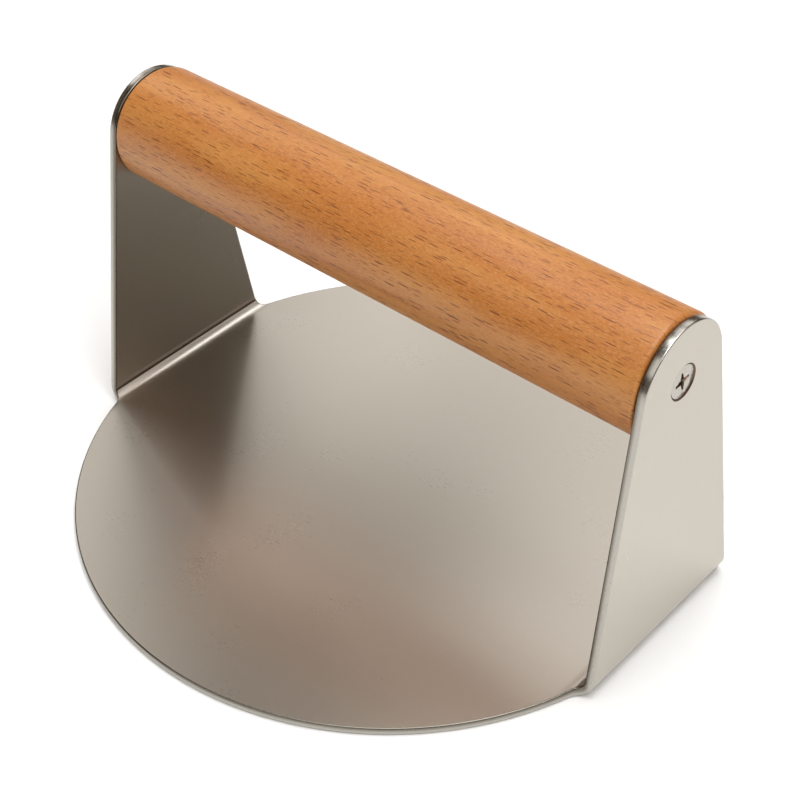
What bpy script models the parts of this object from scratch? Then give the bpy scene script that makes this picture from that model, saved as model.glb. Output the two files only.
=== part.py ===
"""Patty press: a round plate with two ears folded up from the same sheet, and a dowel handle between
them, held by one countersunk screw at each end.

Metres, +Z up. The origin is the middle of the plate's underside, and the handle lies along X.
"""

import math

import bmesh
import bpy
from mathutils import Vector

# Driving dimensions
PLATE_RADIUS = 0.0700
SHEET = 0.0018
EAR_OUTER_X = 0.0692
EAR_BASE_HALF_WIDTH = 0.0230
EAR_TAPER = 0.165  # sideways per unit of height, on each side
BEND_OUTER_RADIUS = 0.0032
NEUTRAL_LAYER = 0.40  # how far into the sheet, from inside the bend, its length stays the same
ROOT_FILLET = 0.0028
HANDLE_HEIGHT = 0.0648
HANDLE_RADIUS = 0.0125
HANDLE_ROUND_OVER = 0.0008
SCREW_HEAD_RADIUS = 0.00345
SCREW_SHANK_RADIUS = 0.00175
SCREW_LENGTH = 0.0250
SCREW_TIP_LENGTH = 0.0035
RECESS_ARM_LENGTH = 0.0046
RECESS_ARM_WIDTH = 0.0008
RECESS_DEPTH = 0.0014
RECESS_BOTTOM_SCALE = 0.45
RECESS_TURN = math.radians(-8)
GAP = 0.0003
PILOT_BACKLASH = 0.0010  # the pilot bore runs this much deeper than the screw

# Derived dimensions
EAR_INNER_X = EAR_OUTER_X - SHEET
BEND_START = EAR_OUTER_X - BEND_OUTER_RADIUS
BEND_INNER_RADIUS = BEND_OUTER_RADIUS - SHEET
BEND_LENGTH = (math.pi / 2) * (BEND_INNER_RADIUS + NEUTRAL_LAYER * SHEET)
HANDLE_HALF_LENGTH = EAR_INNER_X - GAP
SCREW_HEAD_DEPTH = SCREW_HEAD_RADIUS - SCREW_SHANK_RADIUS  # a 90 degree cone

# Facets
PLATE_SEGMENTS = 120
EAR_TOP_SEGMENTS = 24
FILLET_SEGMENTS = 6
BEND_STEPS = 8
HANDLE_SEGMENTS = 64
SCREW_SEGMENTS = 32


def clear_scene():
    for obj in list(bpy.data.objects):
        bpy.data.objects.remove(obj, do_unlink=True)


def make_material(name, colour, roughness, metallic):
    material = bpy.data.materials.new(name)
    material.use_nodes = True
    shader = material.node_tree.nodes["Principled BSDF"]
    shader.inputs["Base Color"].default_value = (*colour, 1.0)
    shader.inputs["Roughness"].default_value = roughness
    shader.inputs["Metallic"].default_value = metallic
    return material


def add_object(name, bm, material=None):
    """Turn a bmesh into an object. Its round faces have up to four corners and are shaded smooth."""
    bmesh.ops.recalc_face_normals(bm, faces=bm.faces)
    mesh = bpy.data.meshes.new(name)
    bm.to_mesh(mesh)
    bm.free()
    mesh.shade_smooth()
    mesh.set_sharp_from_angle(angle=math.radians(35))
    for polygon in mesh.polygons:
        if len(polygon.vertices) > 4:
            polygon.use_smooth = False
    if material:
        mesh.materials.append(material)
    obj = bpy.data.objects.new(name, mesh)
    bpy.context.scene.collection.objects.link(obj)
    return obj


def add_cutter(target, cutter):
    cutter.hide_render = True
    cutter.display_type = "WIRE"
    modifier = target.modifiers.new("cut_" + cutter.name, "BOOLEAN")
    modifier.operation = "DIFFERENCE"
    modifier.solver = "EXACT"
    modifier.object = cutter


def arc(centre, radius, start, end, segments):
    """Points on an arc in the sheet's plane, both ends included."""
    points = []
    for step in range(segments + 1):
        angle = start + (end - start) * step / segments
        points.append(centre + radius * Vector((math.cos(angle), math.sin(angle))))
    return points


def blank_quarter():
    """The flat blank's outline in the quarter +X +Y: plate edge, root fillet, ear side, ear top."""
    side = Vector((EAR_TAPER, 1.0)).normalized()  # points out of the ear's side edge
    along = Vector((side.y, -side.x))
    flat_rise = BEND_OUTER_RADIUS
    foot = Vector((BEND_START + BEND_LENGTH, EAR_BASE_HALF_WIDTH - EAR_TAPER * flat_rise))
    reach = side.dot(foot)

    top_centre = Vector((foot.x + HANDLE_HEIGHT - flat_rise, 0.0))
    top_radius = reach - side.dot(top_centre)

    fillet_reach = reach + ROOT_FILLET
    centre_distance = PLATE_RADIUS + ROOT_FILLET
    fillet_centre = side * fillet_reach + along * math.sqrt(centre_distance**2 - fillet_reach**2)
    plate_end = math.atan2(fillet_centre.y, fillet_centre.x)
    fillet_start = plate_end - math.pi
    fillet_end = math.atan2(-side.y, -side.x)

    middle = Vector((0.0, 0.0))
    plate_steps = round(PLATE_SEGMENTS * (math.pi / 2 - plate_end) / (2 * math.pi))
    ear_angle = math.atan2(side.y, side.x)
    points = arc(middle, PLATE_RADIUS, math.pi / 2, plate_end, plate_steps)
    points += arc(fillet_centre, ROOT_FILLET, fillet_start, fillet_end, FILLET_SEGMENTS)[1:]
    points += arc(top_centre, top_radius, ear_angle, 0.0, EAR_TOP_SEGMENTS // 2)
    return points


def fold(point):
    """Carry a point of the flat blank to its place on the folded sheet."""
    run = abs(point.x) - BEND_START
    if run <= 0:
        return point
    outward = math.copysign(1.0, point.x)
    radius = BEND_OUTER_RADIUS - point.z
    if run < BEND_LENGTH:
        angle = (math.pi / 2) * run / BEND_LENGTH
        x = BEND_START + radius * math.sin(angle)
        z = BEND_OUTER_RADIUS - radius * math.cos(angle)
    else:
        x = BEND_START + radius
        z = BEND_OUTER_RADIUS + run - BEND_LENGTH
    return Vector((outward * x, point.y, z))


def make_press_body(material):
    quarter = blank_quarter()
    half = quarter + [Vector((p.x, -p.y)) for p in reversed(quarter[:-1])]
    outline = half + [Vector((-p.x, p.y)) for p in reversed(half[1:-1])]

    bm = bmesh.new()
    corners = [bm.verts.new((p.x, p.y, 0.0)) for p in outline]
    bm.faces.new(corners)
    for sign in (-1, 1):
        for step in range(BEND_STEPS + 1):
            line = sign * (BEND_START + BEND_LENGTH * step / BEND_STEPS)
            bmesh.ops.bisect_plane(
                bm,
                geom=bm.verts[:] + bm.edges[:] + bm.faces[:],
                dist=1e-6,
                plane_co=(line, 0, 0),
                plane_no=(1, 0, 0),
            )
    grown = bmesh.ops.extrude_face_region(bm, geom=bm.faces[:])
    for item in grown["geom"]:
        if isinstance(item, bmesh.types.BMVert):
            item.co.z = SHEET
    for vert in bm.verts:
        vert.co = fold(vert.co)
    return add_object("press_body", bm, material)


def turned(name, profile, segments, outward, material=None):
    """Turn (distance along the axis, radius) pairs about the handle's axis, with flat or pointed ends."""
    bm = bmesh.new()
    rings = []
    for distance, radius in profile:
        x = outward * distance
        if radius == 0:
            rings.append([bm.verts.new((x, 0, HANDLE_HEIGHT))])
            continue
        ring = []
        for step in range(segments):
            angle = 2 * math.pi * step / segments
            y, z = radius * math.cos(angle), radius * math.sin(angle)
            ring.append(bm.verts.new((x, y, HANDLE_HEIGHT + z)))
        rings.append(ring)
    for first, second in zip(rings, rings[1:]):
        for step in range(segments):
            after = (step + 1) % segments
            if len(first) == 1:
                bm.faces.new((first[0], second[step], second[after]))
            elif len(second) == 1:
                bm.faces.new((first[step], second[0], first[after]))
            else:
                bm.faces.new((first[step], second[step], second[after], first[after]))
    for end in (rings[0], rings[-1]):
        if len(end) > 1:
            bm.faces.new(end)
    return add_object(name, bm, material)


def cut_countersink(body, side, outward):
    """The through hole and its 90 degree countersink, one cutter for each ear."""
    clearance = SCREW_SHANK_RADIUS + GAP
    mouth = SCREW_HEAD_RADIUS + GAP
    beyond = 0.0010
    profile = [
        (EAR_OUTER_X + beyond, mouth + beyond),
        (EAR_OUTER_X - (mouth - clearance), clearance),
        (EAR_INNER_X - beyond, clearance),
    ]
    add_cutter(body, turned("countersink_" + side, profile, SCREW_SEGMENTS, outward))


def make_handle(material):
    inset = HANDLE_HALF_LENGTH - HANDLE_ROUND_OVER
    shoulder = HANDLE_RADIUS - HANDLE_ROUND_OVER
    quarter = [math.radians(a) for a in (90, 60, 30, 0)]
    rounded = [
        (inset + HANDLE_ROUND_OVER * math.sin(a), shoulder + HANDLE_ROUND_OVER * math.cos(a))
        for a in quarter
    ]
    mirrored = [(-distance, radius) for distance, radius in reversed(rounded)]
    return turned("handle", rounded + mirrored, HANDLE_SEGMENTS, 1, material)


def cut_pilot_bore(handle, side, outward):
    """The blind bore in the dowel's end grain that the screw's thread bites into."""
    radius = SCREW_SHANK_RADIUS + GAP
    mouth = HANDLE_HALF_LENGTH + 0.0010
    bottom = EAR_OUTER_X - SCREW_LENGTH - PILOT_BACKLASH
    profile = [(mouth, radius), (bottom + radius, radius), (bottom, 0)]
    add_cutter(handle, turned("pilot_" + side, profile, SCREW_SEGMENTS, outward))


def cut_cross_recess(screw, side, outward):
    """A cross-shaped drive socket that narrows towards its bottom."""
    long_half, short_half = RECESS_ARM_LENGTH / 2, RECESS_ARM_WIDTH / 2
    arm = [(long_half, -short_half), (long_half, short_half), (short_half, short_half)]
    clear = 0.0005
    levels = [(EAR_OUTER_X + clear, 1.0), (EAR_OUTER_X, 1.0)]
    levels += [(EAR_OUTER_X - RECESS_DEPTH, RECESS_BOTTOM_SCALE)]

    bm = bmesh.new()
    rings = []
    for distance, scale in levels:
        ring = []
        for quarter in range(4):
            turn = RECESS_TURN + quarter * math.pi / 2
            for a, b in arm:
                y = scale * (a * math.cos(turn) - b * math.sin(turn))
                z = scale * (a * math.sin(turn) + b * math.cos(turn))
                ring.append(bm.verts.new((outward * distance, y, HANDLE_HEIGHT + z)))
        rings.append(ring)
    bm.faces.new(rings[0])
    bm.faces.new(rings[-1])
    for first, second in zip(rings, rings[1:]):
        for step in range(len(first)):
            after = (step + 1) % len(first)
            bm.faces.new((first[step], second[step], second[after], first[after]))
    add_cutter(screw, add_object("recess_" + side, bm))


def make_screw(side, outward, material):
    neck = EAR_OUTER_X - SCREW_HEAD_DEPTH
    tip = EAR_OUTER_X - SCREW_LENGTH
    profile = [
        (EAR_OUTER_X, SCREW_HEAD_RADIUS),
        (neck, SCREW_SHANK_RADIUS),
        (tip + SCREW_TIP_LENGTH, SCREW_SHANK_RADIUS),
        (tip, 0),
    ]
    screw = turned("screw_" + side, profile, SCREW_SEGMENTS, outward, material)
    cut_cross_recess(screw, side, outward)


def main():
    clear_scene()
    brushed_steel = make_material("brushed_stainless_steel", (0.56, 0.54, 0.50), 0.32, 1.0)
    beech = make_material("oiled_beech", (0.60, 0.30, 0.12), 0.48, 0.0)
    screw_steel = make_material("screw_stainless_steel", (0.60, 0.58, 0.55), 0.28, 1.0)

    body = make_press_body(brushed_steel)
    handle = make_handle(beech)
    for side, outward in (("left", -1), ("right", 1)):
        cut_countersink(body, side, outward)
        cut_pilot_bore(handle, side, outward)
        make_screw(side, outward, screw_steel)


main()
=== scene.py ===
"""Visual model of a patty press: a round line-brushed stainless plate with two ears folded up from the same
sheet, and an oiled beech dowel held between the ears by a countersunk wood screw at each end.

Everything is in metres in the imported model's frame: +Z up, the handle along X, and the origin in the middle
of the plate's underside.
"""

from __future__ import annotations

import logging
import math
from collections.abc import Callable, Iterator, Mapping
from contextlib import contextmanager
from dataclasses import dataclass
from enum import Enum

import bmesh
import bpy
from mathutils import Matrix, Vector

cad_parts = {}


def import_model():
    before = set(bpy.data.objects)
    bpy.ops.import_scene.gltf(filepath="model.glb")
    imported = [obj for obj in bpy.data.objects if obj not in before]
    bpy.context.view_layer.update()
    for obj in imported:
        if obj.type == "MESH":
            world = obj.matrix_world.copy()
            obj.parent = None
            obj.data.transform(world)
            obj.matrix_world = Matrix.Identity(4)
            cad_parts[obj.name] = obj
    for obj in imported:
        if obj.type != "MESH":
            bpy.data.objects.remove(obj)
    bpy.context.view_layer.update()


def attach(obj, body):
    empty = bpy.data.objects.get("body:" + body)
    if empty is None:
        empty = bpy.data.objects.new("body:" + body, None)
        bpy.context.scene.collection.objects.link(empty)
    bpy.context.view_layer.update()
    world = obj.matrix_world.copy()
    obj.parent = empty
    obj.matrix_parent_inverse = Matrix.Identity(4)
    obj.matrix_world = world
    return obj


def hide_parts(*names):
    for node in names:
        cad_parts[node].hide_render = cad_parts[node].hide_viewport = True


LOG = logging.getLogger("patty_press")
MM = 0.001
HAIR = 0.01 * MM  # Places nearer to each other than this are one place.
BODY = "root"
NOISE_SPREAD = (0.3, 0.7)  # Most values of a noise pattern lie in this range.


class Side(Enum):
    """The two ends of the handle, as the sign of X."""

    LEFT = -1
    RIGHT = 1

    @property
    def label(self) -> str:
        """The word that the nodes' names use."""
        return self.name.lower()


# --- Modelling helpers ---


def deselect_everything() -> None:
    """Leave nothing selected, so that an operator acts only on the piece in hand."""
    bpy.ops.object.select_all(action="DESELECT")


def make_active(obj: bpy.types.Object) -> None:
    """Select one object alone and make it the active one."""
    deselect_everything()
    obj.select_set(True)
    bpy.context.view_layer.objects.active = obj


@contextmanager
def editing(obj: bpy.types.Object) -> Iterator[None]:
    """Hold an object in edit mode with all of its mesh selected.

    Args:
        obj: The mesh object to shape.
    """
    make_active(obj)
    bpy.ops.object.mode_set(mode="EDIT")
    bpy.ops.mesh.select_mode(type="VERT")
    bpy.ops.mesh.select_all(action="SELECT")
    yield
    bpy.ops.object.mode_set(mode="OBJECT")


def select_vertices(obj: bpy.types.Object, wanted: Callable[[Vector], bool]) -> None:
    """Select the vertices of the object in edit mode that pass a test, and what lies between them.

    Args:
        obj: The object in edit mode.
        wanted: Says of a vertex's place whether it is selected.
    """
    bpy.ops.mesh.select_mode(type="VERT")
    mesh = bmesh.from_edit_mesh(obj.data)
    for vertex in mesh.verts:
        vertex.select = wanted(vertex.co)
    mesh.select_flush_mode()
    bmesh.update_edit_mesh(obj.data)


def select_faces(obj: bpy.types.Object, wanted: Callable[[Vector, Vector], bool]) -> None:
    """Select the faces of the object in edit mode that pass a test.

    Args:
        obj: The object in edit mode.
        wanted: Says of a face's centre and normal whether it is selected.
    """
    bpy.ops.mesh.select_all(action="DESELECT")
    bpy.ops.mesh.select_mode(type="FACE")
    mesh = bmesh.from_edit_mesh(obj.data)
    for face in mesh.faces:
        face.select_set(wanted(face.calc_center_median(), face.normal))
    bmesh.update_edit_mesh(obj.data)


def add_modifier(obj: bpy.types.Object, kind: str, **settings: object) -> None:
    """Add a modifier and apply it at once.

    Args:
        obj: The object that is modified.
        kind: The modifier's type, such as BEVEL.
        settings: The modifier's properties.
    """
    modifier = obj.modifiers.new(kind.title(), kind)
    for name, value in settings.items():
        setattr(modifier, name, value)
    make_active(obj)
    bpy.ops.object.modifier_apply(modifier=modifier.name)


def cut_away(obj: bpy.types.Object, cutter: bpy.types.Object) -> None:
    """Cut one object out of another and remove the cutter.

    Args:
        obj: The object that is cut.
        cutter: The closed shape that is cut away.
    """
    add_modifier(obj, "BOOLEAN", operation="DIFFERENCE", solver="EXACT", object=cutter)
    bpy.data.objects.remove(cutter, do_unlink=True)


def finish_piece(obj: bpy.types.Object, name: str, smooth_angle: float = 32.0) -> bpy.types.Object:
    """Name a piece, apply its place to its mesh and shade its round faces smooth.

    Args:
        obj: The finished mesh object.
        name: The piece's name.
        smooth_angle: Edges sharper than this many degrees stay crisp.

    Returns:
        The same object.
    """
    obj.name = name
    obj.data.name = name
    make_active(obj)
    bpy.ops.object.transform_apply(location=True, rotation=True, scale=True)
    bpy.ops.object.shade_smooth_by_angle(angle=math.radians(smooth_angle))
    return obj


# --- Material helpers ---


def linear(hex_colour: str, alpha: float = 1.0) -> tuple[float, float, float, float]:
    """Turn an sRGB hex colour into a linear one.

    Args:
        hex_colour: The colour, such as "#C8A070".
        alpha: Its opacity.

    Returns:
        Linear red, green, blue and alpha.
    """
    channels = [int(hex_colour[place : place + 2], 16) / 255 for place in (1, 3, 5)]
    curved = [c / 12.92 if c <= 0.04045 else ((c + 0.055) / 1.055) ** 2.4 for c in channels]
    return (*curved, alpha)


def add_node(
    tree: bpy.types.NodeTree,
    kind: str,
    values: Mapping[str | int, object] | None = None,
    links: Mapping[str | int, bpy.types.NodeSocket] | None = None,
    **settings: object,
) -> bpy.types.Node:
    """Add a node to a tree with its settings, its constant inputs and its links.

    Args:
        tree: The node tree.
        kind: The node's type name.
        values: Constant values by input name or number.
        links: Output sockets by the input name or number that they feed.
        settings: The node's own properties, such as operation.

    Returns:
        The new node.
    """
    node = tree.nodes.new(kind)
    for name, value in settings.items():
        setattr(node, name, value)
    for key, value in (values or {}).items():
        node.inputs[key].default_value = value
    for key, socket in (links or {}).items():
        tree.links.new(socket, node.inputs[key])
    return node


def new_material(name: str) -> tuple[bpy.types.Material, bpy.types.Node, bpy.types.NodeSocket]:
    """Make a material with an empty Principled shader.

    Args:
        name: The material's name.

    Returns:
        The material, its Principled shader and its Object coordinates.
    """
    material = bpy.data.materials.new(name)
    material.use_nodes = True
    tree = material.node_tree
    shader = tree.nodes["Principled BSDF"]
    coordinates = add_node(tree, "ShaderNodeTexCoord").outputs["Object"]
    return material, shader, coordinates


def streaks(
    tree: bpy.types.NodeTree,
    coordinates: bpy.types.NodeSocket,
    size_mm: tuple[float, float, float],
    detail: float = 2.0,
    shift_mm: tuple[float, float, float] = (0.0, 0.0, 0.0),
) -> bpy.types.NodeSocket:
    """Noise whose grains measure about size_mm along X, Y and Z.

    Args:
        tree: The material's node tree.
        coordinates: Object coordinates in metres.
        size_mm: The grains' size along each axis, in millimetres.
        detail: How many finer octaves are added.
        shift_mm: Moves the pattern, so that two layers don't line up.

    Returns:
        The noise, from about 0.2 to 0.8.
    """
    scale = tuple(1 / (size * MM) for size in size_mm)
    location = tuple(shift / size for shift, size in zip(shift_mm, size_mm))
    mapping = add_node(
        tree, "ShaderNodeMapping", {"Scale": scale, "Location": location}, {"Vector": coordinates}
    )
    noise = add_node(
        tree,
        "ShaderNodeTexNoise",
        {"Scale": 1.0, "Detail": detail, "Roughness": 0.55},
        {"Vector": mapping.outputs["Vector"]},
    )
    return noise.outputs["Fac"]


def remap(
    tree: bpy.types.NodeTree,
    value: bpy.types.NodeSocket,
    source: tuple[float, float],
    target: tuple[float, float],
    smooth: bool = False,
) -> bpy.types.NodeSocket:
    """Map a value from one range to another, held inside the target range.

    Args:
        tree: The material's node tree.
        value: The value to map.
        source: The range that it comes from.
        target: The range that it goes to.
        smooth: Whether the ends of the range are eased.

    Returns:
        The mapped value.
    """
    node = add_node(
        tree,
        "ShaderNodeMapRange",
        {"From Min": source[0], "From Max": source[1], "To Min": target[0], "To Max": target[1]},
        {"Value": value},
        interpolation_type="SMOOTHSTEP" if smooth else "LINEAR",
        clamp=True,
    )
    return node.outputs["Result"]


def combine(
    tree: bpy.types.NodeTree,
    operation: str,
    first: bpy.types.NodeSocket,
    second: bpy.types.NodeSocket | float,
) -> bpy.types.NodeSocket:
    """Join a value and another value or constant by a Math operation.

    Args:
        tree: The material's node tree.
        operation: The operation, such as MULTIPLY.
        first: The first value.
        second: The second value or constant.

    Returns:
        The result.
    """
    values, links = ({1: second}, {0: first}) if isinstance(second, float) else (None, {0: first, 1: second})
    return add_node(tree, "ShaderNodeMath", values, links, operation=operation).outputs[0]


def blend_colours(
    tree: bpy.types.NodeTree,
    factor: bpy.types.NodeSocket,
    first: bpy.types.NodeSocket | tuple[float, float, float, float],
    second: bpy.types.NodeSocket | tuple[float, float, float, float],
) -> bpy.types.NodeSocket:
    """Mix two colours by a factor.

    Args:
        tree: The material's node tree.
        factor: How much of the second colour shows.
        first: The first colour, a socket or a constant.
        second: The second colour, a socket or a constant.

    Returns:
        The mixed colour.
    """
    values: dict[str | int, object] = {}
    links: dict[str | int, bpy.types.NodeSocket] = {"Factor": factor}
    for key, colour in ((6, first), (7, second)):
        if isinstance(colour, tuple):
            values[key] = colour
        else:
            links[key] = colour
    return add_node(tree, "ShaderNodeMix", values, links, data_type="RGBA").outputs[2]


# --- Finishes ---


@dataclass(frozen=True)
class LineBrushedStainless:
    """Type 304 stainless sheet, belt-brushed along its length before it was cut and folded.

    The belt leaves fine parallel lines, which run along the handle on the plate and up the ears. They draw
    reflections out across the lines, so the surface mirrors softly and looks warm grey.
    """

    tone: str = "#BFB9AF"
    shade: str = "#BCB6AB"
    roughness: tuple[float, float] = (0.27, 0.29)
    anisotropy: float = 0.6
    line_mm: tuple[float, float] = (2.6, 0.24)
    cloud_mm: float = 22.0  # The polish is taken to drift over a couple of centimetres.
    line_depth_mm: float = 0.0002

    def build(self) -> bpy.types.Material:
        """Make the material.

        Returns:
            The material.
        """
        material, shader, coordinates = new_material("line_brushed_stainless_sheet")
        tree = material.node_tree
        length, width = self.line_mm
        # A belt's lines are well under 0.1 mm wide, too fine to show, so they are drawn wider.
        lines = streaks(tree, coordinates, (length, width, length), detail=2.0)
        finer = streaks(tree, coordinates, (length * 0.7, width * 0.6, length), 2.0, (5, 3, 1))
        clouds = streaks(tree, coordinates, (self.cloud_mm,) * 3, detail=1.5)

        pattern = combine(tree, "MULTIPLY", combine(tree, "ADD", lines, finer), 0.5)
        share = remap(tree, pattern, NOISE_SPREAD, (0.0, 1.0))
        colour = blend_colours(tree, share, linear(self.shade), linear(self.tone))
        tree.links.new(colour, shader.inputs["Base Color"])

        mottled = combine(tree, "MULTIPLY", combine(tree, "ADD", pattern, clouds), 0.5)
        tree.links.new(remap(tree, mottled, NOISE_SPREAD, self.roughness), shader.inputs["Roughness"])

        depth = {"Strength": 1.0, "Distance": self.line_depth_mm * MM}
        bump = add_node(tree, "ShaderNodeBump", depth, {"Height": pattern})
        tree.links.new(bump.outputs["Normal"], shader.inputs["Normal"])

        across = add_node(tree, "ShaderNodeCombineXYZ", {"Y": 1.0})
        tree.links.new(across.outputs["Vector"], shader.inputs["Tangent"])
        shader.inputs["Metallic"].default_value = 1.0
        shader.inputs["Anisotropic"].default_value = self.anisotropy
        return material


@dataclass(frozen=True)
class FoldedStainless:
    """The same sheet over the bends, where the press brake's rubbing left a more matt strip, painted paler
    towards the crease as a highlight.
    """

    # The pale tone is a painted highlight of the bright band along the bend; the rising roughness is the real
    # rubbing.
    tone: str = "#DAD5CB"
    brushed_tone: str = "#BCB6AB"
    roughness: tuple[float, float] = (0.29, 0.47)
    rise_mm: tuple[float, float] = (1.8, 2.6)
    anisotropy: float = 0.6

    def build(self) -> bpy.types.Material:
        """Make the material, which starts as the brushed finish beside the plate.

        Returns:
            The material.
        """
        material, shader, coordinates = new_material("folded_matt_stainless_painted_highlight")
        tree = material.node_tree
        height = add_node(tree, "ShaderNodeSeparateXYZ", None, {0: coordinates}).outputs["Z"]
        low, high = (rise * MM for rise in self.rise_mm)
        rubbed_and_painted_highlight = remap(tree, height, (low, high), (0.0, 1.0), smooth=True)
        tree.links.new(remap(tree, rubbed_and_painted_highlight, (0.0, 1.0), self.roughness), shader.inputs["Roughness"])
        # The colour grows paler up the bend as a painted highlight.
        colour = blend_colours(tree, rubbed_and_painted_highlight, linear(self.brushed_tone), linear(self.tone))
        tree.links.new(colour, shader.inputs["Base Color"])
        across = add_node(tree, "ShaderNodeCombineXYZ", {"Y": 1.0})
        tree.links.new(across.outputs["Vector"], shader.inputs["Tangent"])
        shader.inputs["Metallic"].default_value = 1.0
        shader.inputs["Anisotropic"].default_value = self.anisotropy
        return material


@dataclass(frozen=True)
class ShearedEdge:
    """The sheet's blanked edge: burnished on the die's side, torn and dark next to the inner face."""

    tone: str = "#B4B0A8"
    torn: str = "#777269"
    roughness: tuple[float, float] = (0.20, 0.28)
    bend_centre: tuple[float, float] = (66.0 * MM, 3.2 * MM)
    inner_radius: float = 1.4 * MM
    torn_mm: tuple[float, float] = (0.2, 1.2)
    grain_mm: float = 0.5  # Taken as how far apart the burnished band's patches are.

    def depth(self, tree: bpy.types.NodeTree, coordinates: bpy.types.NodeSocket) -> bpy.types.NodeSocket:
        """How far a point lies from the inner face, through the plate, round the bend and up the ear.

        Args:
            tree: The material's node tree.
            coordinates: Object coordinates in metres.

        Returns:
            0 next to the inner face, rising to 1 between the two depths of torn_mm.
        """
        axes = add_node(tree, "ShaderNodeSeparateXYZ", None, {0: coordinates})
        centre_x, centre_z = self.bend_centre
        outwards = combine(tree, "ABSOLUTE", axes.outputs["X"], 0.0)
        outwards = combine(tree, "MAXIMUM", combine(tree, "SUBTRACT", outwards, centre_x), 0.0)
        drop = combine(tree, "MULTIPLY", combine(tree, "SUBTRACT", axes.outputs["Z"], centre_z), -1.0)
        drop = combine(tree, "MAXIMUM", drop, 0.0)
        corner = add_node(tree, "ShaderNodeCombineXYZ", None, {0: outwards, 1: drop}).outputs[0]
        length = add_node(tree, "ShaderNodeVectorMath", None, {0: corner}, operation="LENGTH")
        near, far = (self.inner_radius + depth * MM for depth in self.torn_mm)
        return remap(tree, length.outputs["Value"], (near, far), (0.0, 1.0), smooth=True)

    def build(self) -> bpy.types.Material:
        """Make the material.

        Returns:
            The material.
        """
        material, shader, coordinates = new_material("sheared_stainless_edge")
        tree = material.node_tree
        grain = streaks(tree, coordinates, (self.grain_mm,) * 3, detail=2.0)
        depth = self.depth(tree, coordinates)
        colour = blend_colours(tree, depth, linear(self.torn), linear(self.tone))
        tree.links.new(colour, shader.inputs["Base Color"])
        tree.links.new(remap(tree, grain, NOISE_SPREAD, self.roughness), shader.inputs["Roughness"])
        shader.inputs["Metallic"].default_value = 1.0
        return material


@dataclass(frozen=True)
class ScrewStainless:
    """Cold-headed stainless screw steel, evenly satin, so a head shows as a pale disc."""

    tone: str = "#BFBBB3"
    shade: str = "#B0ABA3"
    roughness: tuple[float, float] = (0.24, 0.32)
    grain_mm: float = 0.35  # Taken as the width of the patches that cold heading leaves.

    def build(self) -> bpy.types.Material:
        """Make the material.

        Returns:
            The material.
        """
        material, shader, coordinates = new_material("cold_headed_stainless")
        tree = material.node_tree
        grain = streaks(tree, coordinates, (self.grain_mm,) * 3, detail=2.0)
        tree.links.new(remap(tree, grain, NOISE_SPREAD, self.roughness), shader.inputs["Roughness"])
        colour = blend_colours(tree, grain, linear(self.tone), linear(self.shade))
        tree.links.new(colour, shader.inputs["Base Color"])
        shader.inputs["Metallic"].default_value = 1.0
        return material


@dataclass(frozen=True)
class RecessShadeSteel:
    """Worked stainless in recesses, countersinks and creases, painted dark brown as their shade, so that each
    reads as a dark line.
    """

    # Both tones are painted shade, far darker than the steel itself.
    tone: str = "#7A6455"
    shade: str = "#5E4A3D"
    roughness: float = 0.42
    grain_mm: float = 0.4  # Taken as the width of a fleck of scale.

    def build(self) -> bpy.types.Material:
        """Make the material.

        Returns:
            The material.
        """
        material, shader, coordinates = new_material("painted_shade_worked_stainless")
        tree = material.node_tree
        grain = streaks(tree, coordinates, (self.grain_mm,) * 3, detail=2.0)
        colour = blend_colours(tree, grain, linear(self.tone), linear(self.shade))
        tree.links.new(colour, shader.inputs["Base Color"])
        shader.inputs["Roughness"].default_value = self.roughness
        shader.inputs["Metallic"].default_value = 1.0
        return material


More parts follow.
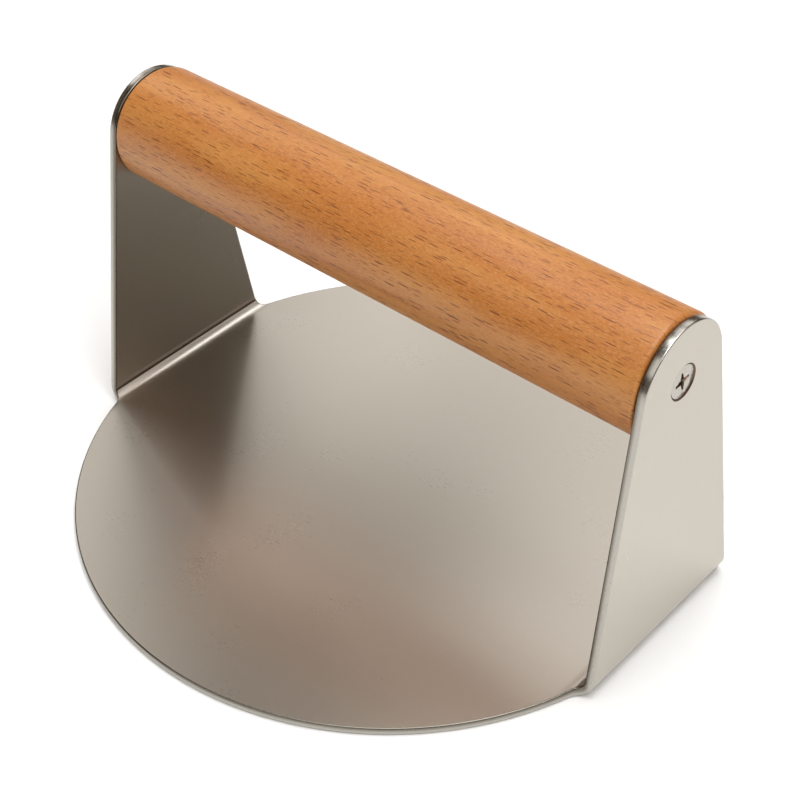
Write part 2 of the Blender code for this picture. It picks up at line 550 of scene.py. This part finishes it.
@dataclass(frozen=True)
class OiledBeech:
    """Steamed beech, turned, sanded and oiled.

    Steaming gives the orange-brown ground. The rays show as short dark lens-shaped dashes along the grain on
    the faces that look away from the tree's middle, and as broader flecks on the faces between. The oil gives
    a satin sheen, clearest at a grazing angle.
    """

    radial_turn_degrees: float = 40.0
    light: str = "#C78743"
    mid: str = "#B8702B"
    deep: str = "#A2591B"
    pale: str = "#D39A5C"
    pink: str = "#B87643"
    ray: str = "#6A2E06"
    roughness: tuple[float, float] = (0.38, 0.50)
    pore_depth: float = 0.008 * MM
    axis_height: float = 64.8 * MM

    def grain_frame(
        self, tree: bpy.types.NodeTree, coordinates: bpy.types.NodeSocket
    ) -> bpy.types.NodeSocket:
        """Object coordinates turned so that X runs along the grain, Y along the rings and Z out of the tree.

        Args:
            tree: The material's node tree.
            coordinates: Object coordinates in metres.

        Returns:
            The turned coordinates, in millimetres.
        """
        centred = add_node(
            tree, "ShaderNodeMapping", {"Location": (0, 0, -self.axis_height)}, {"Vector": coordinates}
        )
        turned = add_node(
            tree,
            "ShaderNodeMapping",
            {"Rotation": (math.radians(-self.radial_turn_degrees), 0, 0), "Scale": (1 / MM,) * 3},
            {"Vector": centred.outputs["Vector"]},
        )
        return turned.outputs["Vector"]

    def rays(
        self,
        tree: bpy.types.NodeTree,
        grain: bpy.types.NodeSocket,
        cell_mm: tuple[float, float, float],
        size_mm: tuple[float, float, float],
        shift: float,
    ) -> bpy.types.NodeSocket:
        """Lens-shaped rays, one in each cell of a jittered grid.

        Args:
            tree: The material's node tree.
            grain: Grain coordinates in millimetres.
            cell_mm: How far apart the rays are, along each axis.
            size_mm: Half the length, thickness and depth of the largest rays.
            shift: Moves this layer against the others, in cells.

        Returns:
            1 inside a ray and 0 outside, with a soft edge.
        """
        scale = tuple(1 / size for size in cell_mm)
        cells = add_node(
            tree, "ShaderNodeMapping", {"Scale": scale, "Location": (shift,) * 3}, {"Vector": grain}
        )
        voronoi = add_node(
            tree, "ShaderNodeTexVoronoi", {"Scale": 1.0, "Randomness": 1.0}, {"Vector": cells.outputs[0]}
        )
        offset = add_node(
            tree,
            "ShaderNodeVectorMath",
            None,
            {0: cells.outputs[0], 1: voronoi.outputs["Position"]},
            operation="SUBTRACT",
        )
        stretch = tuple(cell / size for cell, size in zip(cell_mm, size_mm))
        scaled = add_node(
            tree, "ShaderNodeVectorMath", {1: stretch}, {0: offset.outputs[0]}, operation="MULTIPLY"
        )
        distance = add_node(
            tree, "ShaderNodeVectorMath", None, {0: scaled.outputs[0]}, operation="LENGTH"
        ).outputs["Value"]
        luck = add_node(tree, "ShaderNodeSeparateColor", None, {0: voronoi.outputs["Color"]})
        reach = remap(tree, luck.outputs[0], (0.0, 1.0), (0.45, 1.0))
        ratio = combine(tree, "DIVIDE", distance, reach)
        inside = remap(tree, ratio, (0.6, 1.0), (1.0, 0.0), smooth=True)
        strength = remap(tree, luck.outputs[1], (0.0, 1.0), (0.6, 1.0))
        return combine(tree, "MULTIPLY", inside, strength)

    def build(self) -> bpy.types.Material:
        """Make the material.

        Returns:
            The material.
        """
        material, shader, coordinates = new_material("oiled_steamed_beech")
        tree = material.node_tree
        grain = self.grain_frame(tree, coordinates)
        metre_grain = add_node(tree, "ShaderNodeMapping", {"Scale": (MM,) * 3}, {"Vector": grain}).outputs[0]

        # The tone drifts over a few centimetres of board, and growth rings are taken as 1.6 mm apart. Pores
        # are under 0.1 mm across and fibres finer still, so both are drawn coarser to show.
        broad = streaks(tree, metre_grain, (38.0, 6.0, 9.0), detail=2.0)
        rings = streaks(tree, metre_grain, (90.0, 14.0, 1.6), detail=1.0, shift_mm=(0, 0, 4))
        fibres = streaks(tree, metre_grain, (3.0, 0.16, 0.16), detail=2.0)
        speckle = streaks(tree, metre_grain, (0.7, 0.3, 0.3), detail=3.0, shift_mm=(3, 1, 2))
        blush = streaks(tree, metre_grain, (55.0, 8.0, 8.0), detail=1.0, shift_mm=(17, 5, 3))

        share = remap(tree, broad, (0.32, 0.68), (0.0, 1.0), smooth=True)
        ground = blend_colours(tree, share, linear(self.mid), linear(self.light))
        for pattern, source, most, smooth, tint in (
            (blush, (0.5, 0.72), 0.6, True, self.pink),
            (rings, (0.5, 0.75), 0.45, True, self.deep),
            (fibres, (0.42, 0.72), 0.45, False, self.deep),
            (speckle, (0.45, 0.75), 0.5, False, self.pale),
        ):
            share = remap(tree, pattern, source, (0.0, most), smooth)
            ground = blend_colours(tree, share, ground, linear(tint))

        # Beech rays show as dashes 1 to 4 mm long and 0.1 to 0.3 mm thick, about a millimetre apart.
        main = self.rays(tree, grain, (3.0, 1.0, 1.3), (2.1, 0.14, 0.7), 0.0)
        second = self.rays(tree, grain, (2.2, 0.8, 1.0), (1.2, 0.10, 0.5), 7.3)
        marks = combine(tree, "MAXIMUM", main, combine(tree, "MULTIPLY", second, 0.75))
        colour = blend_colours(tree, marks, ground, linear(self.ray))
        tree.links.new(colour, shader.inputs["Base Color"])

        tree.links.new(remap(tree, fibres, NOISE_SPREAD, self.roughness), shader.inputs["Roughness"])
        relief = combine(tree, "SUBTRACT", combine(tree, "MULTIPLY", fibres, 0.5), marks)
        depth = {"Strength": 0.6, "Distance": self.pore_depth}
        bump = add_node(tree, "ShaderNodeBump", depth, {"Height": relief})
        tree.links.new(bump.outputs["Normal"], shader.inputs["Normal"])
        shader.inputs["IOR"].default_value = 1.5
        shader.inputs["Coat Weight"].default_value = 0.14
        shader.inputs["Coat Roughness"].default_value = 0.32
        return material


@dataclass(frozen=True)
class EndGrainBeech:
    """Sawn beech end grain in the pilot bores and on the dowel's ends: darker, dry and matt."""

    tone: str = "#A9683A"
    dark: str = "#8A5029"
    pore_mm: float = 0.2  # Pores are under 0.1 mm wide, and are drawn wider to show.

    def build(self) -> bpy.types.Material:
        """Make the material.

        Returns:
            The material.
        """
        material, shader, coordinates = new_material("sawn_beech_end_grain")
        tree = material.node_tree
        pores = streaks(tree, coordinates, (0.5, self.pore_mm, self.pore_mm), detail=3.0)
        colour = blend_colours(tree, pores, linear(self.tone), linear(self.dark))
        tree.links.new(colour, shader.inputs["Base Color"])
        shader.inputs["Roughness"].default_value = 0.72
        return material


# --- Pieces ---


@dataclass
class PressSheet:
    """The plate and its two ears: one blank of brushed sheet, folded up at both ends and countersunk."""

    plate_radius: float = 70.0 * MM
    sheet: float = 1.8 * MM
    ear_outer_x: float = 69.2 * MM
    ear_base_half_width: float = 23.0 * MM
    ear_taper: float = 0.165
    root_fillet: float = 2.8 * MM
    handle_height: float = 64.8 * MM
    countersink_radius: float = 3.75 * MM
    crease_height: float = 3.2 * MM
    crease_depth: float = 0.1 * MM
    crease_slope: float = math.radians(5)
    crease_punch: tuple[float, float] = (1.0 * MM, 1.6 * MM)
    rounding: float = 0.3 * MM
    bend_top: float = 4.0 * MM
    tail_turn: float = math.radians(9)
    tail_length: float = 2.4 * MM
    tail_steps: int = 6
    core_radius: float = 3.2 * MM
    core_steps: int = 18
    plate_steps: int = 96
    fillet_steps: int = 10
    ear_top_steps: int = 14

    @property
    def scores(self) -> list[tuple[float, float]]:
        """Where the blank is scored for a bend that starts gradually and then keeps one radius.

        Returns:
            For each score, its distance from the bend's start and how far the sheet turns at it.
        """
        core_turn = math.pi / 2 - self.tail_turn
        core_length = self.core_radius * core_turn
        tail = [
            (
                self.tail_length * (step + 0.5) / self.tail_steps,
                self.tail_turn * (2 * step + 1) / self.tail_steps**2,
            )
            for step in range(self.tail_steps)
        ]
        core = [
            (
                self.tail_length + core_length * (step + 0.5) / self.core_steps,
                core_turn / self.core_steps,
            )
            for step in range(self.core_steps)
        ]
        return tail + core

    @property
    def bend_size(self) -> tuple[float, float, float]:
        """Follow the blank round the bend.

        Returns:
            The bend's length along the blank, how far it reaches outwards and how high it rises.
        """
        length = self.tail_length + self.core_radius * (math.pi / 2 - self.tail_turn)
        outwards = rise = angle = last = 0.0
        for place, turn in [*self.scores, (length, 0.0)]:
            outwards += (place - last) * math.cos(angle)
            rise += (place - last) * math.sin(angle)
            angle += turn
            last = place
        return length, outwards, rise

    @property
    def bend_start(self) -> float:
        """How far from the middle the plate stops being flat."""
        return self.ear_outer_x - self.sheet / 2 - self.bend_size[1]

    def swing(self, start: Vector, centre: Vector, angle: float, steps: int) -> Vector:
        """Spin the selected end vertex about a centre, clockwise seen from above, and return where it ends.

        Args:
            start: The selected vertex's place.
            centre: The arc's centre.
            angle: The arc's angle in radians, clockwise where positive.
            steps: How many edges the arc has.

        Returns:
            The place of the arc's far end, whose vertex stays selected.
        """
        bpy.ops.mesh.spin(steps=steps, angle=angle, center=centre, axis=(0, 0, 1))
        return centre + Matrix.Rotation(-angle, 3, "Z") @ (start - centre)

    def draw_blank(self) -> bpy.types.Object:
        """Draw a quarter of the blank's outline, mirror it and fill it.

        Returns:
            The flat blank, halfway up the sheet's thickness.
        """
        height = self.sheet / 2
        side = Vector((self.ear_taper, 1.0, 0.0)).normalized()
        along = Vector((side.y, -side.x, 0.0))
        length, _, rise = self.bend_size
        flat_foot = self.bend_start + length
        foot_height = height + rise
        half_width = self.ear_base_half_width - self.ear_taper * foot_height
        reach = side.dot(Vector((flat_foot, half_width, 0.0)))
        fillet_reach = reach + self.root_fillet
        centre_distance = self.plate_radius + self.root_fillet
        run = math.sqrt(centre_distance**2 - fillet_reach**2)
        fillet_centre = side * fillet_reach + along * run + Vector((0, 0, height))
        plate_end = math.atan2(fillet_centre.y, fillet_centre.x)
        top_centre = Vector((flat_foot + self.handle_height - foot_height, 0.0, height))
        ear_angle = math.atan2(side.y, side.x)

        bpy.ops.mesh.primitive_plane_add(size=self.sheet, location=(0, 0, 0))
        blank = bpy.context.object
        with editing(blank):
            bpy.ops.mesh.merge(type="CENTER")
            bpy.ops.transform.translate(value=(0, self.plate_radius, height))
            end = Vector((0, self.plate_radius, height))
            middle = Vector((0, 0, height))
            end = self.swing(end, middle, math.pi / 2 - plate_end, self.plate_steps)
            end = self.swing(end, fillet_centre, plate_end - ear_angle, self.fillet_steps)
            tangent = top_centre + side * (reach - side.dot(top_centre))
            bpy.ops.mesh.extrude_region_move(TRANSFORM_OT_translate={"value": tangent - end})
            self.swing(tangent, top_centre, ear_angle, self.ear_top_steps)
        add_modifier(blank, "MIRROR", use_axis=(True, True, False), merge_threshold=HAIR)
        with editing(blank):
            bpy.ops.mesh.remove_doubles(threshold=HAIR)
            bpy.ops.mesh.edge_face_add()
        return blank

    def fold_ear(self, blank: bpy.types.Object, side: Side) -> None:
        """Score the bend across the blank and fold the ear up a little at each score, the outermost first.

        Args:
            blank: The flat blank.
            side: The ear to fold.
        """
        scores = [(self.bend_start + place, turn) for place, turn in self.scores]
        height = self.sheet / 2
        with editing(blank):
            for score, _ in scores:
                bpy.ops.mesh.select_all(action="SELECT")
                bpy.ops.mesh.bisect(plane_co=(side.value * score, 0, 0), plane_no=(1, 0, 0))
            for score, turn in reversed(scores):
                select_vertices(blank, lambda place: place.x * side.value > score + HAIR / 10)
                bpy.ops.transform.rotate(
                    value=side.value * turn,
                    orient_axis="Y",
                    orient_type="GLOBAL",
                    center_override=(side.value * score, 0, height),
                )

    def countersink(self, sheet: bpy.types.Object, side: Side, screw: CountersunkScrew) -> None:
        """Drill the ear and countersink it from outside.

        Args:
            sheet: The folded sheet.
            side: The ear to drill.
            screw: The screw that the hole is made for.
        """
        hole = screw.shank_radius + screw.clearance
        mouth = self.countersink_radius
        beyond = 0.5 * MM
        depth = mouth - hole + beyond
        centre_x = self.ear_outer_x + beyond - depth / 2
        bpy.ops.mesh.primitive_cone_add(
            vertices=96,
            radius1=hole,
            radius2=mouth + beyond,
            depth=depth,
            location=(side.value * centre_x, 0, self.handle_height),
            rotation=(0, side.value * math.pi / 2, 0),
        )
        cutter = bpy.context.object
        make_active(cutter)
        bpy.ops.object.transform_apply(location=True, rotation=True, scale=True)
        with editing(cutter):
            select_faces(cutter, lambda centre, normal: normal.x * side.value < -0.99)
            bpy.ops.mesh.extrude_region_move(
                TRANSFORM_OT_translate={"value": (-side.value * (self.sheet + beyond), 0, 0)}
            )
        cut_away(sheet, cutter)

    def round_edges(self, sheet: bpy.types.Object) -> None:
        """Round the cut edge on both sides, as tumbling in stones leaves it.

        Args:
            sheet: The folded sheet, whose cut edge has the second material.
        """
        with editing(sheet):
            bpy.ops.mesh.select_all(action="DESELECT")
            sheet.active_material_index = 1
            bpy.ops.object.material_slot_select()
            bpy.ops.mesh.region_to_loop()
            bpy.ops.mesh.bevel(offset=self.rounding, segments=3, affect="EDGES", material=1)

    def mark_crease(self, sheet: bpy.types.Object, side: Side) -> None:
        """Cut the step that the punch's edge left along the foot of the ear, on the inside.

        Args:
            sheet: The folded sheet.
            side: The ear to mark.
        """
        width, height = self.crease_punch
        bpy.ops.mesh.primitive_cube_add(size=1, location=(-side.value * width / 2, 0, height / 2))
        cutter = bpy.context.object
        cutter.scale = (width, 3 * self.ear_base_half_width, height)
        make_active(cutter)
        bpy.ops.object.transform_apply(location=True, rotation=True, scale=True)
        cutter.rotation_euler = (0, -side.value * self.crease_slope, 0)
        deepest = self.ear_outer_x - self.sheet + self.crease_depth
        cutter.location = (side.value * deepest, 0, self.crease_height)
        bpy.ops.object.transform_apply(location=True, rotation=True, scale=True)
        cut_away(sheet, cutter)

    def assign_finishes(self, sheet: bpy.types.Object) -> None:
        """Give the insides of the bends the folded finish, its pale tone partly a painted highlight, and the
        creases and countersinks the steel painted dark as their shade.

        Args:
            sheet: The folded sheet.
        """
        mouth = self.countersink_radius - 2 * HAIR
        with editing(sheet):
            select_faces(
                sheet,
                lambda centre, normal: centre.z < self.bend_top
                and abs(centre.x) > self.bend_start + self.tail_length / 3
                and 0.02 < abs(normal.x) < 0.985
                and normal.z > 0.15
                and abs(normal.y) < 0.05,
            )
            sheet.active_material_index = 2
            bpy.ops.object.material_slot_assign()
            # Slot 3 is steel painted dark as the shade in the countersinks and on the crease step.
            select_faces(
                sheet,
                lambda centre, normal: abs(normal.x) < 0.99
                and abs(centre.x) > self.ear_outer_x - self.sheet * 1.1
                and math.hypot(centre.y, centre.z - self.handle_height) < mouth,
            )
            sheet.active_material_index = 3
            bpy.ops.object.material_slot_assign()
            select_faces(
                sheet,
                lambda centre, normal: abs(centre.z - self.crease_height) < 0.1 * MM
                and abs(centre.x) > self.ear_outer_x - self.sheet - 0.3 * MM
                and normal.z > 0.98,
            )
            bpy.ops.object.material_slot_assign()

    def build(self, screw: CountersunkScrew) -> bpy.types.Object:
        """Make the folded sheet.

        Args:
            screw: The screw that holds the handle, which sets the countersinks.

        Returns:
            The finished piece.
        """
        sheet = self.draw_blank()
        for side in Side:
            self.fold_ear(sheet, side)
        for finish in (LineBrushedStainless(), ShearedEdge(), FoldedStainless(), RecessShadeSteel()):
            sheet.data.materials.append(finish.build())
        add_modifier(
            sheet,
            "SOLIDIFY",
            thickness=self.sheet,
            offset=0.0,
            use_even_offset=True,
            material_offset_rim=1,
        )
        self.round_edges(sheet)
        for side in Side:
            self.countersink(sheet, side, screw)
            self.mark_crease(sheet, side)
        self.assign_finishes(sheet)
        finish_piece(sheet, "folded_press_sheet")
        add_modifier(sheet, "WEIGHTED_NORMAL", keep_sharp=True)
        return sheet


@dataclass
class DowelHandle:
    """The round beech handle, with softened ends and a blind pilot bore in each end for its screw."""

    radius: float = 12.5 * MM
    half_length: float = 67.1 * MM
    height: float = 64.8 * MM
    round_over: float = 0.9 * MM
    facets: int = 192

    def drill(self, handle: bpy.types.Object, side: Side, screw: CountersunkScrew) -> None:
        """Drill one end for its screw.

        Args:
            handle: The dowel, in edit mode.
            side: The end to drill.
            screw: The screw that goes in.
        """
        bore = screw.shank_radius + screw.clearance
        bottom = screw.face_x - screw.length - screw.clearance
        end_radius = self.radius - self.round_over
        select_faces(handle, lambda centre, normal: normal.x * side.value > 0.99)
        bpy.ops.mesh.inset(thickness=end_radius - bore)
        bpy.ops.mesh.extrude_region_move(
            TRANSFORM_OT_translate={"value": (-side.value * (self.half_length - bottom - bore), 0, 0)}
        )
        bpy.ops.mesh.extrude_region_move(TRANSFORM_OT_translate={"value": (-side.value * bore, 0, 0)})
        bpy.ops.mesh.merge(type="CENTER")

    def build(self, screw: CountersunkScrew) -> bpy.types.Object:
        """Make the dowel.

        Args:
            screw: The screw that the pilot bores are made for.

        Returns:
            The finished piece.
        """
        bpy.ops.mesh.primitive_cylinder_add(
            vertices=self.facets,
            radius=self.radius,
            depth=2 * self.half_length,
            location=(0, 0, self.height),
            rotation=(0, math.pi / 2, 0),
        )
        handle = bpy.context.object
        handle.data.materials.append(OiledBeech().build())
        handle.data.materials.append(EndGrainBeech().build())
        make_active(handle)
        bpy.ops.object.transform_apply(location=True, rotation=True, scale=True)
        with editing(handle):
            select_faces(handle, lambda centre, normal: abs(normal.x) > 0.99)
            bpy.ops.mesh.region_to_loop()
            bpy.ops.mesh.bevel(offset=self.round_over, segments=8, affect="EDGES")
            for side in Side:
                self.drill(handle, side, screw)
            inner = self.half_length - HAIR
            bore = screw.shank_radius + 2 * screw.clearance
            select_faces(
                handle,
                lambda centre, normal: abs(normal.x) > 0.99
                or (abs(centre.x) < inner and math.hypot(centre.y, centre.z - self.height) < bore),
            )
            handle.active_material_index = 1
            bpy.ops.object.material_slot_assign()
        return finish_piece(handle, "beech_dowel_handle")


@dataclass
class CountersunkScrew:
    """A 3.5 mm countersunk wood screw with a cross recess, its head 0.2 mm below the ear's face."""

    head_radius: float = 3.4 * MM
    shank_radius: float = 1.75 * MM
    length: float = 25.0 * MM
    tip: float = 3.5 * MM
    rim: float = 0.12 * MM
    clearance: float = 0.3 * MM
    face_x: float = 69.0 * MM
    height: float = 64.8 * MM
    recess_half_width: float = 0.56 * MM
    recess_half_length: float = 2.25 * MM
    recess_depth: float = 1.5 * MM
    recess_tip: float = 0.45
    recess_turn_degrees: float = -8.0
    edge_break: float = 0.06 * MM
    facets: int = 96

    def cross_cutter(self, side: Side) -> bpy.types.Object:
        """Make the tapered cross that is punched into the head.

        Args:
            side: The end that the screw sits at.

        Returns:
            The cutter.
        """
        above = 0.3 * MM
        depth = self.recess_depth + above
        centre_x = self.face_x + above - depth / 2
        bpy.ops.mesh.primitive_cube_add(size=1, location=(side.value * centre_x, 0, self.height))
        cutter = bpy.context.object
        cutter.scale = (depth, 2 * self.recess_half_width, 2 * self.recess_half_width)
        make_active(cutter)
        bpy.ops.object.transform_apply(location=True, rotation=True, scale=True)
        reach = self.recess_half_length - self.recess_half_width
        middle = Vector((side.value * centre_x, 0, self.height))
        narrowing = (1, self.recess_tip, self.recess_tip)
        with editing(cutter):
            for axis in (Vector((0, 1, 0)), Vector((0, -1, 0)), Vector((0, 0, 1)), Vector((0, 0, -1))):
                select_faces(
                    cutter,
                    lambda centre, normal: normal.dot(axis) > 0.99
                    and (centre - middle).length < self.recess_half_width * 1.1,
                )
                bpy.ops.mesh.extrude_region_move(TRANSFORM_OT_translate={"value": axis * reach})
                bpy.ops.transform.resize(
                    value=narrowing, center_override=middle + axis * self.recess_half_length
                )
            deep = centre_x - depth / 2 + HAIR
            select_vertices(cutter, lambda place: place.x * side.value < deep)
            bpy.ops.transform.resize(
                value=narrowing, center_override=(side.value * deep, 0, self.height)
            )
            bpy.ops.mesh.select_all(action="SELECT")
            bpy.ops.transform.rotate(
                value=math.radians(self.recess_turn_degrees),
                orient_axis="X",
                orient_type="GLOBAL",
                center_override=(0, 0, self.height),
            )
        return cutter

    def build(self, side: Side, materials: tuple[bpy.types.Material, ...]) -> bpy.types.Object:
        """Make one screw.

        Args:
            side: The end that the screw sits at.
            materials: The screw's steel, and the steel painted dark as the shade in its recess.

        Returns:
            The finished piece.
        """
        inwards = Vector((-side.value, 0, 0))
        cone = self.head_radius - self.shank_radius
        bpy.ops.mesh.primitive_cylinder_add(
            vertices=self.facets,
            radius=self.head_radius,
            depth=self.rim,
            location=(side.value * (self.face_x - self.rim / 2), 0, self.height),
            rotation=(0, math.pi / 2, 0),
        )
        screw = bpy.context.object
        for material in materials:
            screw.data.materials.append(material)
        make_active(screw)
        bpy.ops.object.transform_apply(location=True, rotation=True, scale=True)
        with editing(screw):
            select_faces(screw, lambda centre, normal: normal.dot(inwards) > 0.99)
            bpy.ops.mesh.extrude_region_move(TRANSFORM_OT_translate={"value": inwards * (cone - self.rim)})
            narrowing = self.shank_radius / self.head_radius
            bpy.ops.transform.resize(
                value=(1, narrowing, narrowing), center_override=(0, 0, self.height)
            )
            shank = self.length - cone - self.tip
            bpy.ops.mesh.extrude_region_move(TRANSFORM_OT_translate={"value": inwards * shank})
            bpy.ops.mesh.extrude_region_move(TRANSFORM_OT_translate={"value": inwards * self.tip})
            bpy.ops.mesh.merge(type="CENTER")
        cut_away(screw, self.cross_cutter(side))
        with editing(screw):
            reach = self.recess_half_length * 1.05
            face = self.face_x - HAIR
            select_faces(
                screw,
                lambda centre, normal: self.face_x - self.recess_depth * 1.1 < centre.x * side.value < face
                and math.hypot(centre.y, centre.z - self.height) < reach
                and normal.x * side.value >= -0.3,
            )
            # The recess gets steel painted dark as its shade.
            screw.active_material_index = 1
            bpy.ops.object.material_slot_assign()
        add_modifier(
            screw,
            "BEVEL",
            width=self.edge_break,
            segments=2,
            limit_method="ANGLE",
            angle_limit=math.radians(32),
        )
        return finish_piece(screw, f"countersunk_screw_{side.label}")


# --- Studio ---


@dataclass(frozen=True)
class Softbox:
    """A large soft light panel that faces the press."""

    name: str
    azimuth: float
    elevation: float
    distance: float
    size: tuple[float, float]
    radiance: float
    colour: str = "#FFFFFF"

    def build(self, target: Vector) -> None:
        """Hang the panel, with its power set from its radiance and its area.

        Args:
            target: The point that it faces.
        """
        turn, rise = math.radians(self.azimuth), math.radians(self.elevation)
        direction = Vector(
            (math.sin(turn) * math.cos(rise), -math.cos(turn) * math.cos(rise), math.sin(rise))
        )
        data = bpy.data.lights.new(self.name, "AREA")
        data.shape = "RECTANGLE"
        data.size, data.size_y = self.size
        data.energy = math.pi * self.size[0] * self.size[1] * self.radiance
        data.color = linear(self.colour)[:3]
        panel = bpy.data.objects.new(self.name, data)
        panel.location = target + direction * self.distance
        panel.rotation_mode = "QUATERNION"
        panel.rotation_quaternion = direction.to_track_quat("Z", "Y")
        panel.visible_camera = False
        bpy.context.scene.collection.objects.link(panel)


@dataclass
class Studio:
    """A plain pale table under soft light, and the camera."""

    floor_colour: str = "#FAFAF9"
    floor_size: float = 4.0
    floor_gap: float = 0.02 * MM
    aim_height: float = 30 * MM
    room_colour: str = "#B89F86"
    room_strength: float = 0.24
    camera_place: tuple[float, float, float] = (0.19254, -0.20322, 0.26170)
    camera_azimuth: float = 41.68
    camera_elevation: float = 38.33
    camera_roll: float = -1.10
    lens: float = 78.62
    shift: tuple[float, float] = (-0.0456, -0.0840)

    def lay_floor(self) -> None:
        """Lay the table top that the press stands on."""
        bpy.ops.mesh.primitive_plane_add(size=self.floor_size, location=(0, 0, -self.floor_gap))
        floor = bpy.context.object
        floor.name = "table_top"
        material = bpy.data.materials.new("matt_white_table")
        material.use_nodes = True
        shader = material.node_tree.nodes["Principled BSDF"]
        shader.inputs["Base Color"].default_value = linear(self.floor_colour)
        shader.inputs["Roughness"].default_value = 0.9
        floor.data.materials.append(material)

    def light_room(self) -> None:
        """Set the dim room and hang the softboxes."""
        world = bpy.data.worlds.new("studio_room")
        world.use_nodes = True
        background = world.node_tree.nodes["Background"]
        background.inputs["Color"].default_value = linear(self.room_colour)
        background.inputs["Strength"].default_value = self.room_strength
        bpy.context.scene.world = world
        target = Vector((0, 0, self.aim_height))
        for softbox in (
            Softbox("overhead_softbox", 130, 83, 1.3, (1.05, 1.05), 4.4, "#FBFDFF"),
            Softbox("right_softbox", 76, 52, 1.3, (0.6, 0.6), 3.4, "#FBFDFF"),
            Softbox("front_softbox", 0, 45, 1.4, (1.6, 0.85), 1.15),
            Softbox("low_back_softbox", 132, 14, 1.4, (0.8, 0.4), 1.3),
            Softbox("back_softbox", 211, 32, 1.4, (0.65, 0.44), 1.5),
            Softbox("back_top_softbox", 202, 55, 1.4, (0.6, 0.43), 1.6),
            Softbox("left_softbox", 238, 32, 1.4, (0.6, 0.44), 0.85),
            Softbox("left_top_softbox", 259, 45, 1.4, (0.5, 0.5), 1.65),
        ):
            softbox.build(target)

    def place_camera(self) -> None:
        """Put the camera in front of the right-hand ear, looking down on the plate."""
        turn, rise = math.radians(self.camera_azimuth), math.radians(self.camera_elevation)
        back = Vector((math.sin(turn) * math.cos(rise), -math.cos(turn) * math.cos(rise), math.sin(rise)))
        camera = bpy.data.objects.new("camera", bpy.data.cameras.new("camera"))
        camera.location = self.camera_place
        camera.rotation_mode = "QUATERNION"
        facing = back.to_track_quat("Z", "Y")
        roll = Matrix.Rotation(math.radians(self.camera_roll), 3, "Z").to_quaternion()
        camera.rotation_quaternion = facing @ roll
        camera.data.lens = self.lens
        camera.data.shift_x, camera.data.shift_y = self.shift
        camera.data.clip_start = 0.01
        camera.data.clip_end = 20.0
        bpy.context.scene.collection.objects.link(camera)
        bpy.context.scene.camera = camera

    def build(self) -> None:
        """Make the whole studio."""
        self.lay_floor()
        self.light_room()
        self.place_camera()
        bpy.context.scene.view_settings.view_transform = "Standard"


# --- Assembly ---


def add_piece(piece: bpy.types.Object, node: str) -> None:
    """Hand a finished piece to the frame.

    Args:
        piece: The finished piece.
        node: The CAD node that it stands for.
    """
    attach(piece, BODY)
    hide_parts(node)
    LOG.info("%s stands for %s: %d faces", piece.name, node, len(piece.data.polygons))


def main() -> None:
    """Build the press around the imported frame, piece by piece, and the studio round it."""
    logging.basicConfig(level=logging.INFO, format="%(message)s")
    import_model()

    Studio().build()
    screw = CountersunkScrew()
    add_piece(PressSheet().build(screw), "press_body")
    add_piece(DowelHandle().build(screw), "handle")
    # The second steel is painted dark as the shade in the screws' recesses.
    screw_steel = (ScrewStainless().build(), RecessShadeSteel().build())
    for side in Side:
        add_piece(screw.build(side, screw_steel), f"screw_{side.label}")

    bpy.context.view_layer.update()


if __name__ == "__main__":
    main()
